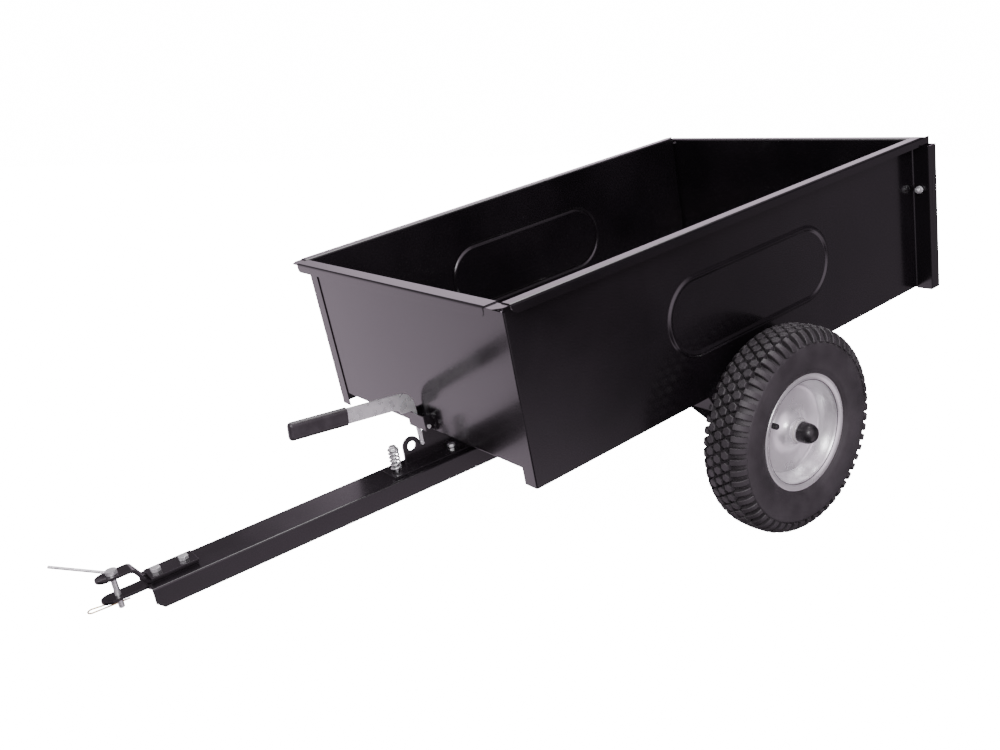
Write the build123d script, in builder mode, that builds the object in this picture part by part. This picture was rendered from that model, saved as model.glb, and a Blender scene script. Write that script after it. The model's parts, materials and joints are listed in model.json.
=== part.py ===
from build123d import *
import os
from math import acos, asin, atan2, cos, degrees, hypot, radians, sin

# Two-wheeled tipping cart for towing behind a garden tractor.
# Units are millimetres. Z is up, the hitch points to -Y, the tailgate to +Y,
# the cart's left side is +X, and the tyres and the tongue's nose stand on Z = 0.

# ---------------------------------------------------------------- driving sizes
wheel_radius = 203.0            # 16 inch garden tyre
tyre_width = 100.0
tyre_wall = 9.0
wheel_centre_x = 428.0          # middle of each tyre, from the cart's middle plane
rim_radius = 114.0              # rolled edge of the 8 inch rim
rim_seat_radius = 101.0
rim_width = 78.0
rim_sheet = 2.5
hub_radius = 24.0
hub_inner_reach = 43.0          # the hub's inner end, from the tyre's middle
hub_length = 69.0
axle_radius = 9.5
valve_circle = 74.0             # distance of the valve stem from the axle line
valve_angle = 163.0             # degrees from the rear, seen from the cart's left
valve_radius = 4.5
valve_length = 34.0

tray_half_width = 350.0         # outer faces of the side panels
tray_front = -543.0             # outer face of the front corner returns
tray_rear = 560.0
skirt_level = 96.0              # lower edge of the side panels, above the axle line
floor_level = 124.0             # underside of the floor
rim_level = 426.0               # top of the flanges
sheet = 2.0
side_flange = 23.0
front_flange = 26.0
flange_lip = 16.0
corner_return = 33.0
corner_tab = 12.0
lip_overrun = 22.0              # of the side lips past the tray's rear edge
guide_width = 35.0              # rear guide channel, across the cart
guide_depth = 30.0
guide_drop = 4.0                # of the guide's foot below the side panel
gate_top = 421.0
gate_fold = 19.0
guide_bolt_levels = (316.0,)
guide_bolt_inset = 15.0         # from the side panel's outer face

tongue_width = 82.4
tongue_height = 39.0
tongue_top = 35.0               # top of the web above the axle line
tongue_front = -1117.0
tongue_rear = 45.0
tongue_sheet = 2.5
nose_chamfer = 12.0
bed_fall = 2.3                  # degrees that the bed leans forward of the tongue

strap_width = 32.0
strap_thickness = 5.0
strap_rear = -1028.0
jaw_tip = -1190.0
jaw_rise = 31.0                 # step of the upper strap
jaw_crease = -1132.0
pin_y = -1162.0
pin_radius = 5.0
pin_foot = 8.0
pin_head_height = 7.0
pin_head_radius = 9.5
handle_radius = 2.6
handle_length = 92.0
handle_turn = 36.0              # degrees from straight ahead towards the right side
handle_rise = 16.0
clip_level = 18.0
clip_wire = 1.4
clip_turn = 4.0                 # degrees from straight ahead towards the right side
clip_eye = 7.0

saddle_front = -642.0
saddle_rear = -467.0
saddle_half_width = 29.0
saddle_sheet = 4.0
ear_x = -12.0                   # far face of the saddle's ear
ear_thickness = 6.0
ear_hole_radius = 9.5
spring_y = -622.0
spring_radius = 9.0
spring_wire = 3.8
spring_turns = 5
spring_height = 42.0

lever_thickness = 6.0
lever_gap = 1.0                 # between the lever's finger and the ear
lever_pivot_y = -553.0
lever_pivot_level = 140.0
lever_pin_radius = 4.0
keeper_depth = 20.0
keeper_half_width = 30.0
keeper_centre_x = 12.0
keeper_height = 30.0
grip_length = 115.0
grip_height = 35.0
grip_width = 17.0

bracket_inner_x = tray_half_width - 92
bracket_outer_x = tray_half_width - 6
bracket_half_length = 135.0
bracket_sheet = 3.0

gap = 0.3                       # clearance between neighbouring pieces
running = 0.06                  # radial clearance of a turning fit
bolt_radius = 5.0
small_bolt_radius = 4.0

# ------------------------------------------------------------------ derived places
tongue_bottom = tongue_top - tongue_height
nose_reach = hypot(tongue_front + nose_chamfer, tongue_bottom)
nose_angle = degrees(atan2(-tongue_bottom, -(tongue_front + nose_chamfer)))
tongue_pitch = degrees(asin(wheel_radius / nose_reach)) - nose_angle
bed_pitch = tongue_pitch + bed_fall
jaw_top = tongue_top + strap_thickness + jaw_rise
handle_cos = cos(radians(handle_turn))
handle_sin = sin(radians(handle_turn))
front_end = (pin_y - handle_length * handle_cos) * cos(radians(tongue_pitch)) - jaw_top * sin(
    radians(tongue_pitch)
)
rear_end = (tray_rear + guide_depth) * cos(radians(bed_pitch)) - skirt_level * sin(radians(bed_pitch))
axle_y = -(front_end + rear_end) / 2    # puts the origin under the middle of the overall length
web_under = tongue_top - tongue_sheet
lever_x = ear_x + ear_thickness + lever_gap


def tilted(pitch):
    """Level plane through the axle, its rear end raised by the pitch angle."""
    tilt = radians(pitch)
    return Plane(origin=(0, axle_y, wheel_radius), x_dir=(1, 0, 0), z_dir=(0, -sin(tilt), cos(tilt)))


bed = tilted(bed_pitch)
tongue_line = tilted(tongue_pitch)
up_bed = Axis(bed.origin, bed.z_dir)
up_tongue = Axis(tongue_line.origin, tongue_line.z_dir)


def level(base, height):
    """Plane parallel to the base, seen from above: local X = cart X, local Y = rearward."""
    return base.offset(height)


def side(base, x):
    """Plane seen from the cart's left: local X = rearward, local Y = up, normal = +X."""
    return Plane(origin=base.from_local_coords((x, 0, 0)), x_dir=base.y_dir, z_dir=base.x_dir)


def facing_front(base, y):
    """Plane seen from the front: local X = cart X, local Y = up, normal = forward."""
    return Plane(origin=base.from_local_coords((0, y, 0)), x_dir=base.x_dir, z_dir=-base.y_dir)


def place(base, x, y, z):
    """Upright plane at a point of the base's frame, for bolts, pins and springs."""
    return Plane(origin=base.from_local_coords((x, y, z)), x_dir=base.x_dir, z_dir=base.z_dir)


def box_between(low, high):
    """Rectangle of the current sketch with its corners at low and high."""
    middle = ((low[0] + high[0]) / 2, (low[1] + high[1]) / 2)
    with Locations(middle):
        Rectangle(high[0] - low[0], high[1] - low[1])


os.makedirs("parts", exist_ok=True)


def save(part, name):
    part.label = name
    export_step(part, f"parts/{name}.step")


def mirrored_pair(part, name):
    """Write the left piece and its mirror image on the right."""
    save(part, f"{name}_left")
    save(mirror(part, about=Plane.YZ), f"{name}_right")


# ------------------------------------------------------------------------- wheels
wheel_plane = Plane(origin=(0, axle_y, wheel_radius), x_dir=(1, 0, 0), z_dir=(0, -1, 0))
axle_line = Axis((0, axle_y, wheel_radius), (1, 0, 0))


def turned(points):
    """Piece of revolution about the axle, from an outline of (x, radius) corners."""
    with BuildPart() as piece:
        with BuildSketch(wheel_plane):
            with BuildLine():
                Polyline(*points, close=True)
            make_face()
        revolve(axis=axle_line)
    return piece.part


def ring(x_from, x_to, inner, outer):
    """Washer, bush or sleeve on the axle line."""
    return turned([(x_from, inner), (x_to, inner), (x_to, outer), (x_from, outer)])


def make_tyre():
    middle = wheel_centre_x
    half = tyre_width / 2
    bead = rim_width / 2 - rim_sheet - gap
    foot = rim_seat_radius + gap
    outer = [
        (bead, foot), (bead, rim_radius + 3), (half - 4, 132), (half, 155), (half - 3, 178),
        (half - 10, 192), (half - 24, wheel_radius - 3), (half - 38, wheel_radius),
    ]
    inner = [
        (half - 38, wheel_radius - 16), (half - 20, 180), (half - tyre_wall, 155),
        (half - tyre_wall - 4, 130), (bead - tyre_wall, foot),
    ]
    near = [(middle + x, r) for x, r in outer + inner]
    far = [(middle - x, r) for x, r in outer[::-1]]
    with BuildPart() as tyre:
        with BuildSketch(wheel_plane):
            with BuildLine():
                Polyline(*[(middle + x, r) for x, r in outer], *far)
                Polyline(far[-1], *[(middle - x, r) for x, r in inner[::-1]], *near[len(outer):], near[0])
            make_face()
        revolve(axis=axle_line)
    return tyre.part


def make_rim():
    outer = wheel_centre_x + rim_width / 2
    inner = wheel_centre_x - rim_width / 2
    well = rim_seat_radius - 13
    disc_x = wheel_centre_x + 2
    with BuildPart() as rim:
        with BuildSketch(wheel_plane):
            box_between((inner, rim_seat_radius - rim_sheet), (inner + rim_sheet, rim_radius))
            box_between((outer - rim_sheet, rim_seat_radius - rim_sheet), (outer, rim_radius))
            box_between((inner, rim_seat_radius - rim_sheet), (inner + 22, rim_seat_radius))
            box_between((outer - 22, rim_seat_radius - rim_sheet), (outer, rim_seat_radius))
            box_between((inner + 22 - rim_sheet, well), (inner + 22, rim_seat_radius))
            box_between((outer - 22, well), (outer - 22 + rim_sheet, rim_seat_radius))
            box_between((inner + 22 - rim_sheet, well - rim_sheet), (outer - 22 + rim_sheet, well))
            box_between((disc_x, hub_radius + gap), (disc_x + rim_sheet, well))
        revolve(axis=axle_line)
        valve_plane = Plane(origin=(outer - 35, axle_y, wheel_radius), x_dir=(0, 1, 0), z_dir=(1, 0, 0))
        with BuildSketch(valve_plane):
            with PolarLocations(valve_circle, 1, start_angle=valve_angle):
                Circle(valve_radius + gap)
        extrude(amount=12, both=True, mode=Mode.SUBTRACT)
    return rim.part


def make_valve():
    disc_x = wheel_centre_x + 2
    start = Plane(origin=(disc_x - 6, axle_y, wheel_radius), x_dir=(0, 1, 0), z_dir=(1, 0, 0))
    with BuildPart() as valve:
        with BuildSketch(start):
            with PolarLocations(valve_circle, 1, start_angle=valve_angle):
                Circle(valve_radius + 2)
        extrude(amount=5.7)
        with BuildSketch(start):
            with PolarLocations(valve_circle, 1, start_angle=valve_angle):
                Circle(valve_radius)
        extrude(amount=valve_length)
    return valve.part


bush_bore = axle_radius + running
bush_radius = hub_radius - 4
hub_in = wheel_centre_x - hub_inner_reach
hub_out = hub_in + hub_length
washer_thickness = 2.5
spacer_in = bracket_outer_x + gap
cap_reach = 31.0

mirrored_pair(make_tyre(), "tyre")
mirrored_pair(make_rim(), "rim")
mirrored_pair(make_valve(), "valve_stem")
mirrored_pair(ring(hub_in, hub_out, bush_radius, hub_radius), "wheel_hub")

bush_length = 26.0
bush_flange = 3.0
bush_profile = [
    (hub_in - bush_flange, bush_bore), (hub_in + bush_length, bush_bore),
    (hub_in + bush_length, bush_radius), (hub_in, bush_radius),
    (hub_in, hub_radius - 1), (hub_in - bush_flange, hub_radius - 1),
]
mirrored_pair(turned(bush_profile), "inner_bush")
mirrored_pair(turned([(hub_in + hub_out - x, r) for x, r in bush_profile]), "outer_bush")
mirrored_pair(
    ring(spacer_in, hub_in - bush_flange - gap, axle_radius, hub_radius - 4), "wheel_spacer"
)
washer_in = hub_out + bush_flange + gap
mirrored_pair(ring(washer_in, washer_in + washer_thickness, axle_radius, hub_radius - 2), "wheel_washer")

cotter_x = washer_in + washer_thickness + 3
cotter_radius = 1.8
cotter_reach = 15.0


def make_cotter():
    with BuildPart() as cotter:
        with BuildSketch(Plane(origin=(cotter_x, axle_y, wheel_radius - cotter_reach), z_dir=(0, 0, 1))):
            Circle(cotter_radius)
        extrude(amount=2 * cotter_reach)
    return cotter.part


cap_in = washer_in + washer_thickness + gap
cap_radius = 20.0
cap_wall = 1.6
cap_collar = 10.0
axle_tip = cotter_x + 5


def add_dome(base_x, radius, tip_x, mode):
    """Straight collar closed by a rounded end, turned about the axle line."""
    shoulder_x = cap_in + cap_collar
    with BuildSketch(wheel_plane) as outline:
        with BuildLine():
            Polyline((tip_x, 0), (base_x, 0), (base_x, radius), (shoulder_x, radius))
            Spline((shoulder_x, radius), (tip_x, 0), tangents=[(1, 0), (0, -1)])
        make_face()
    revolve(outline.sketch, axis=axle_line, mode=mode)


def make_cap():
    """Push-on domed cap over the axle's end and its split pin."""
    with BuildPart() as cap:
        add_dome(cap_in, cap_radius, cap_in + cap_reach, Mode.ADD)
        add_dome(cap_in - 1, cap_radius - cap_wall, cap_in + cap_reach - cap_wall, Mode.SUBTRACT)
    return cap.part


mirrored_pair(make_cotter(), "cotter_pin")
mirrored_pair(make_cap(), "hub_cap")

with BuildPart() as axle:
    with BuildSketch(Plane(origin=(-axle_tip, axle_y, wheel_radius), x_dir=(0, 1, 0), z_dir=(1, 0, 0))):
        Circle(axle_radius)
    extrude(amount=2 * axle_tip)
    chamfer(axle.edges().filter_by(GeomType.CIRCLE), 1.0)
    with BuildSketch(Plane(origin=(cotter_x, axle_y, wheel_radius))):
        Circle(cotter_radius + 0.02)
    extrude(amount=axle_radius + 1, both=True, mode=Mode.SUBTRACT)
    with BuildSketch(Plane(origin=(-cotter_x, axle_y, wheel_radius))):
        Circle(cotter_radius + 0.02)
    extrude(amount=axle_radius + 1, both=True, mode=Mode.SUBTRACT)
save(axle.part, "axle")

# ------------------------------------------------------------------------- tongue
half_tongue = tongue_width / 2
hitch_bolts_y = (-1095.0, -1047.0)
saddle_bolt_y = -494.0
cheek_sheet = 5.0
cheek_front = -70.0
cheek_foot = -24.0
cheek_bolts_y = (-48.0, 30.0)
cheek_bolt_z = 18.0

with BuildPart() as tongue:
    with BuildSketch(side(tongue_line, -half_tongue)):
        with BuildLine():
            Polyline(
                (tongue_front, tongue_top), (tongue_rear, tongue_top), (tongue_rear, tongue_bottom),
                (tongue_front + nose_chamfer, tongue_bottom), (tongue_front, tongue_bottom + nose_chamfer),
                close=True,
            )
        make_face()
    extrude(amount=tongue_width)
    with BuildSketch(facing_front(tongue_line, tongue_rear + 1)):
        box_between(
            (-half_tongue + tongue_sheet, tongue_bottom - 1), (half_tongue - tongue_sheet, web_under)
        )
    extrude(amount=tongue_rear - tongue_front + 2, mode=Mode.SUBTRACT)
    with BuildSketch(level(tongue_line, web_under - 1)):
        with Locations([(0, y) for y in hitch_bolts_y] + [(0, saddle_bolt_y), (0, spring_y)]):
            Circle(bolt_radius + gap)
    extrude(amount=tongue_sheet + 2, mode=Mode.SUBTRACT)
    with BuildSketch(side(tongue_line, -half_tongue - 1)):
        Circle(axle_radius + running)
        with Locations([(y, cheek_bolt_z) for y in cheek_bolts_y]):
            Circle(small_bolt_radius + gap)
    extrude(amount=tongue_width + 2, mode=Mode.SUBTRACT)
save(tongue.part, "tongue")


def make_cheek():
    """Plate inside the tongue's wall that carries the axle."""
    outer_x = half_tongue - tongue_sheet - 0.02
    with BuildPart() as cheek:
        with BuildSketch(side(tongue_line, outer_x - cheek_sheet)):
            with BuildLine():
                Polyline(
                    (cheek_front, web_under - gap), (tongue_rear - 3, web_under - gap),
                    (tongue_rear - 3, tongue_bottom), (22, cheek_foot), (-22, cheek_foot),
                    (cheek_front, tongue_bottom), close=True,
                )
            make_face()
            Circle(axle_radius + running, mode=Mode.SUBTRACT)
            with Locations([(y, cheek_bolt_z) for y in cheek_bolts_y]):
                Circle(small_bolt_radius + gap, mode=Mode.SUBTRACT)
        extrude(amount=cheek_sheet)
    return cheek.part


mirrored_pair(make_cheek(), "axle_cheek")


def add_hex(plane, across, height):
    """Hexagonal head or nut standing on a plane."""
    with BuildSketch(plane) as outline:
        RegularPolygon(across / 2, 6, major_radius=False)
    extrude(outline.sketch, amount=height)


def add_rod(plane, radius, length):
    """Round rod standing on a plane."""
    with BuildSketch(plane) as outline:
        Circle(radius)
    extrude(outline.sketch, amount=length)


def turned_plane(base, x, y, z, towards):
    """Plane at a point of the base's frame whose normal is the given base direction."""
    origin = base.from_local_coords((x, y, z))
    tip = base.from_local_coords((x + towards[0], y + towards[1], z + towards[2]))
    return Plane(origin=origin, z_dir=tip - origin)


nut_height = 8.0
head_height = 6.5
bolt_across = 16.0
small_across = 13.0

with BuildPart() as cheek_bolts:
    for wall_sign in (1, -1):
        for bolt_y in cheek_bolts_y:
            out = turned_plane(
                tongue_line, wall_sign * (half_tongue + 0.1), bolt_y, cheek_bolt_z, (wall_sign, 0, 0)
            )
            add_hex(out, small_across, 5.5)
            add_rod(out, small_bolt_radius, -(tongue_sheet + cheek_sheet + 9))
save(cheek_bolts.part, "cheek_bolts")

with BuildPart() as cheek_nuts:
    for wall_sign in (1, -1):
        for bolt_y in cheek_bolts_y:
            inner_face = half_tongue - tongue_sheet - cheek_sheet - 0.12
            inward = turned_plane(
                tongue_line, wall_sign * inner_face, bolt_y, cheek_bolt_z, (-wall_sign, 0, 0)
            )
            with BuildSketch(inward):
                RegularPolygon(small_across / 2, 6, major_radius=False)
                Circle(small_bolt_radius + 0.05, mode=Mode.SUBTRACT)
            extrude(amount=6)
save(cheek_nuts.part, "cheek_nuts")

# -------------------------------------------------------------------------- hitch
jaw_radius = strap_width / 2
half_strap = strap_width / 2
jaw_floor = jaw_top - strap_thickness


def punch(base, y_list, radius):
    """Holes through the current part, square to the base plane."""
    with BuildSketch(level(base, -100)) as outline:
        with Locations([(0, y) for y in y_list]):
            Circle(radius)
    extrude(outline.sketch, amount=300, mode=Mode.SUBTRACT)


def round_jaw(base, tip_y):
    """Trim the front end of a strap to a half circle."""
    with BuildSketch(level(base, -100)) as outline:
        box_between((-half_strap - 1, tip_y - 1), (half_strap + 1, tip_y + jaw_radius))
        with Locations((0, tip_y + jaw_radius)):
            Circle(jaw_radius, mode=Mode.SUBTRACT)
    extrude(outline.sketch, amount=300, mode=Mode.SUBTRACT)


with BuildPart() as upper_strap:
    with BuildSketch(side(tongue_line, -half_strap)):
        with BuildLine():
            Polyline(
                (strap_rear, tongue_top), (strap_rear, tongue_top + strap_thickness),
                (jaw_crease + 20, tongue_top + strap_thickness), (jaw_crease + 2, jaw_top),
                (jaw_tip, jaw_top), (jaw_tip, jaw_floor), (jaw_crease - 1.5, jaw_floor),
                (jaw_crease + 16.5, tongue_top), close=True,
            )
        make_face()
    extrude(amount=strap_width)
    round_jaw(tongue_line, jaw_tip)
    punch(tongue_line, hitch_bolts_y, bolt_radius + gap)
    punch(tongue_line, [pin_y], pin_radius + gap)
save(upper_strap.part, "upper_hitch_strap")

with BuildPart() as lower_strap:
    with BuildSketch(side(tongue_line, -half_strap)):
        box_between((jaw_tip, web_under - strap_thickness), (strap_rear, web_under))
    extrude(amount=strap_width)
    round_jaw(tongue_line, jaw_tip)
    punch(tongue_line, hitch_bolts_y, bolt_radius + gap)
    punch(tongue_line, [pin_y], pin_radius + gap)
save(lower_strap.part, "lower_hitch_strap")

cover_half_width = 22.0
cover_thickness = 5.0
cover_low = tongue_top + strap_thickness
with BuildPart() as hitch_plate:
    with BuildSketch(level(tongue_line, cover_low)):
        box_between((-cover_half_width, jaw_crease + 22), (cover_half_width, strap_rear))
        with Locations([(0, y) for y in hitch_bolts_y]):
            Circle(bolt_radius + gap, mode=Mode.SUBTRACT)
    extrude(amount=cover_thickness)
save(hitch_plate.part, "hitch_clamp_plate")

cover_top = cover_low + cover_thickness
with BuildPart() as hitch_bolts:
    for bolt_y in hitch_bolts_y:
        seat = place(tongue_line, 0, bolt_y, cover_top)
        add_hex(seat, bolt_across, head_height)
        add_rod(seat, bolt_radius, -(cover_top - web_under + strap_thickness + nut_height + 2))
save(hitch_bolts.part, "hitch_bolts")

with BuildPart() as hitch_nuts:
    for bolt_y in hitch_bolts_y:
        with BuildSketch(place(tongue_line, 0, bolt_y, web_under - strap_thickness)):
            RegularPolygon(bolt_across / 2, 6, major_radius=False)
            Circle(bolt_radius + 0.05, mode=Mode.SUBTRACT)
        extrude(amount=-nut_height)
save(hitch_nuts.part, "hitch_nuts")

pin_head_level = jaw_top + gap
clip_hole = clip_wire + 0.15

with BuildPart() as hitch_pin:
    add_rod(place(tongue_line, 0, pin_y, pin_foot), pin_radius, pin_head_level - pin_foot)
    chamfer(hitch_pin.faces().sort_by(up_tongue)[0].edges(), 1.2)
    add_rod(place(tongue_line, 0, pin_y, pin_head_level), pin_head_radius, pin_head_height)
    clip_ahead = (-sin(radians(clip_turn)), -cos(radians(clip_turn)), 0)
    clip_line = turned_plane(tongue_line, 0, pin_y, clip_level, clip_ahead)
    with BuildSketch(clip_line):
        Circle(clip_hole)
    extrude(amount=pin_radius + 1, both=True, mode=Mode.SUBTRACT)
save(hitch_pin.part, "hitch_pin")

handle_start = pin_head_radius + 0.4
with BuildPart() as pin_handle:
    handle_plane = turned_plane(
        tongue_line,
        -handle_start * handle_sin, pin_y - handle_start * handle_cos, pin_head_level + 4,
        (-handle_sin, -handle_cos, sin(radians(handle_rise))),
    )
    add_rod(handle_plane, handle_radius, handle_length)
    fillet(pin_handle.faces().sort_by(Axis(handle_plane.origin, handle_plane.z_dir))[-1].edges(), 1.5)
save(pin_handle.part, "pin_handle")

# The clip's straight leg passes through the pin. Its other leg leaves the bend on a slant
# and ends beside the pin, just clear of it.
clip_pass = pin_radius + clip_wire + gap
clip_reach = 44.0
clip_tail = 16.0
bend_place = hypot(clip_eye, clip_reach)
clip_slant = acos((clip_pass - clip_eye) / bend_place) - atan2(clip_reach, clip_eye)
slant_sin = sin(clip_slant)
slant_cos = cos(clip_slant)
bend_end = (clip_reach - clip_eye * slant_sin, -clip_eye * (1 + slant_cos))
return_end = (-clip_pass * slant_sin, -clip_pass * slant_cos)
clip_base = Plane(origin=clip_line.origin, x_dir=clip_line.z_dir, z_dir=tongue_line.z_dir)
with BuildPart() as hairpin:
    with BuildLine(clip_base):
        leg = Line((-clip_tail, 0), (clip_reach, 0))
        ThreePointArc((clip_reach, 0), (clip_reach + clip_eye, -clip_eye), bend_end)
        Line(bend_end, return_end)
    with BuildSketch(Plane(origin=leg @ 0, z_dir=leg % 0)):
        Circle(clip_wire)
    sweep()
save(hairpin.part, "hairpin_clip")

# ------------------------------------------------------------------ latch on the tongue
saddle_top = tongue_top + saddle_sheet
ear_hole_y = -577.0
ear_hole_z = 71.0
ear_lobe = 19.0
notch_y = -551.0
notch_z = 63.0
ear_rear = -470.0
ear_foot_rear = -506.0          # the ear passes over the rear bolt's head behind this
ear_shoulder = 50.0
ear_height = 92.0

with BuildPart() as saddle:
    with BuildSketch(level(tongue_line, tongue_top)):
        box_between((-saddle_half_width, saddle_front), (saddle_half_width, saddle_rear))
        with Locations((0, spring_y), (0, saddle_bolt_y)):
            Circle(bolt_radius + 2, mode=Mode.SUBTRACT)
    extrude(amount=saddle_sheet)
    with BuildSketch(side(tongue_line, ear_x)):
        with BuildLine():
            Polyline(
                (ear_hole_y - ear_lobe, ear_hole_z), (ear_hole_y - ear_lobe, tongue_top + 1),
                (ear_foot_rear, tongue_top + 1), (ear_foot_rear, ear_shoulder), (ear_rear, ear_shoulder),
                (ear_rear, ear_height - 24), (ear_rear - 14, ear_height),
                (notch_y + 3, ear_height), (notch_y, notch_z), (notch_y - 3, notch_z),
                (ear_hole_y + ear_lobe * 0.8, ear_hole_z + ear_lobe * 0.6), (ear_hole_y, ear_hole_z),
                close=True,
            )
        make_face()
        with Locations((ear_hole_y, ear_hole_z)):
            Circle(ear_lobe)
            Circle(ear_hole_radius, mode=Mode.SUBTRACT)
    extrude(amount=ear_thickness)
save(saddle.part, "latch_saddle")

saddle_play = 1.3               # lift of the rear bolt's head, so that the saddle can rock
with BuildPart() as saddle_bolt:
    bolt_seat = place(tongue_line, 0, saddle_bolt_y, saddle_top + saddle_play)
    add_hex(bolt_seat, small_across, 5.5)
    add_rod(bolt_seat, bolt_radius, -(saddle_play + saddle_sheet + tongue_sheet + nut_height + 2))
save(saddle_bolt.part, "saddle_bolt")

spring_foot = saddle_top + gap
washer_level = spring_foot + spring_height + gap
with BuildPart() as spring_bolt:
    spring_seat = place(tongue_line, 0, spring_y, washer_level + 2.0 + gap)
    add_hex(spring_seat, small_across, 6)
    add_rod(spring_seat, bolt_radius - 1, -(washer_level + 2.3 - web_under + nut_height + 2))
save(spring_bolt.part, "spring_bolt")

with BuildPart() as spring_washer:
    with BuildSketch(place(tongue_line, 0, spring_y, washer_level)):
        Circle(spring_radius + spring_wire / 2)
        Circle(bolt_radius - 0.8, mode=Mode.SUBTRACT)
    extrude(amount=2.0)
save(spring_washer.part, "spring_washer")

with BuildPart() as tongue_nuts:
    for nut_y, shank in ((saddle_bolt_y, bolt_radius), (spring_y, bolt_radius - 1)):
        with BuildSketch(place(tongue_line, 0, nut_y, web_under - 0.02)):
            RegularPolygon(bolt_across / 2, 6, major_radius=False)
            Circle(shank + 0.05, mode=Mode.SUBTRACT)
        extrude(amount=-nut_height)
save(tongue_nuts.part, "tongue_nuts")

coil_run = spring_height - spring_wire
with BuildPart() as latch_spring:
    spring_base = place(tongue_line, 0, spring_y, spring_foot + spring_wire / 2)
    with BuildLine():
        coil = Helix(
            pitch=coil_run / spring_turns, height=coil_run, radius=spring_radius,
            center=spring_base.origin, direction=spring_base.z_dir,
        )
    with BuildSketch(Plane(origin=coil @ 0, z_dir=coil % 0)):
        Circle(spring_wire / 2)
    sweep(path=coil, is_frenet=True)
save(latch_spring.part, "latch_spring")

# --------------------------------------------------------------------------- tray
flange_reach = tray_half_width + side_flange
tab_x = tray_half_width - corner_tab
panel_y = tray_front + sheet
inner_half = tray_half_width - sheet
guide_x = tray_half_width + guide_width
guide_foot = skirt_level - guide_drop
guide_bolt_x = tray_half_width + guide_bolt_inset


def make_side_panel():
    lip_low = rim_level - flange_lip
    with BuildPart() as panel:
        with BuildSketch(facing_front(bed, tray_rear)):
            box_between((inner_half, skirt_level), (tray_half_width, rim_level))
            box_between((inner_half, rim_level - sheet), (flange_reach, rim_level))
        extrude(amount=tray_rear - tray_front)
        with BuildSketch(facing_front(bed, tray_rear + lip_overrun)):
            box_between((flange_reach - sheet, lip_low), (flange_reach, rim_level))
        extrude(amount=tray_rear + lip_overrun - tray_front)
        with BuildSketch(facing_front(bed, tray_front + sheet)):
            box_between((tray_half_width - corner_return, skirt_level), (tray_half_width, rim_level - flange_lip))
        extrude(amount=sheet)
        with BuildSketch(level(bed, rim_level - sheet)):
            with BuildLine():
                Polyline(
                    (tab_x, tray_front + sheet), (tab_x, tray_front - front_flange),
                    (flange_reach - corner_tab, tray_front - front_flange),
                    (flange_reach, tray_front - front_flange + corner_tab),
                    (flange_reach, tray_front + sheet), close=True,
                )
            make_face()
        extrude(amount=sheet)
        with BuildSketch(facing_front(bed, tray_rear)):
            box_between((tray_half_width - sheet, guide_foot), (guide_x, rim_level - sheet))
        extrude(amount=sheet)
        with BuildSketch(facing_front(bed, tray_rear + 1)):
            with Locations([(guide_bolt_x, z) for z in guide_bolt_levels]):
                Circle(small_bolt_radius + gap)
        extrude(amount=sheet + 4, mode=Mode.SUBTRACT)
    return panel.part


mirrored_pair(make_side_panel(), "side_panel")

with BuildPart() as front_panel:
    with BuildSketch(facing_front(bed, panel_y + sheet + 0.1)):
        box_between((-inner_half + gap, floor_level), (inner_half - gap, rim_level))
    extrude(amount=sheet)
    with BuildSketch(level(bed, rim_level - sheet)):
        box_between((-tab_x + gap, tray_front - front_flange), (tab_x - gap, panel_y + sheet))
    extrude(amount=sheet)
    with BuildSketch(facing_front(bed, tray_front - front_flange + sheet)):
        box_between((-tab_x + gap, rim_level - flange_lip), (tab_x - gap, rim_level))
    extrude(amount=sheet)
    with BuildSketch(level(bed, floor_level)):
        box_between((-inner_half + gap, panel_y + 0.1), (inner_half - gap, panel_y + 22))
    extrude(amount=-sheet)
save(front_panel.part, "front_panel")

bracket_bolts_x = (bracket_inner_x + 20, bracket_outer_x - 22)
bracket_bolts_y = (-105.0, 105.0)
floor_front = panel_y + sheet + gap + 0.1
with BuildPart() as floor_panel:
    with BuildSketch(level(bed, floor_level)):
        box_between((-inner_half + gap, floor_front), (inner_half - gap, tray_rear - gap))
    extrude(amount=sheet)
    for wall_x in (inner_half - gap - sheet, -inner_half + gap):
        with BuildSketch(level(bed, skirt_level + 2)):
            box_between((wall_x, panel_y + 24), (wall_x + sheet, tray_rear - gap))
        extrude(amount=floor_level - skirt_level)
    with BuildSketch(level(bed, floor_level - 1)):
        for bracket_sign in (1, -1):
            with Locations([(bracket_sign * x, y) for x in bracket_bolts_x for y in bracket_bolts_y]):
                Circle(small_bolt_radius + gap)
    extrude(amount=sheet + 2, mode=Mode.SUBTRACT)
save(floor_panel.part, "floor_panel")

gate_front = tray_rear + 6.5
gate_half = flange_reach - sheet - 2 * gap
gate_foot = guide_foot + sheet + gap
with BuildPart() as tailgate:
    with BuildSketch(facing_front(bed, gate_front + gate_fold)):
        box_between((-gate_half, gate_foot), (gate_half, gate_top))
    extrude(amount=gate_fold)
    with BuildSketch(facing_front(bed, gate_front + gate_fold + 1)):
        box_between((-gate_half + sheet, gate_foot + sheet), (gate_half - sheet, gate_top - sheet))
    extrude(amount=gate_fold + 1 - sheet, mode=Mode.SUBTRACT)
save(tailgate.part, "tailgate")


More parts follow.
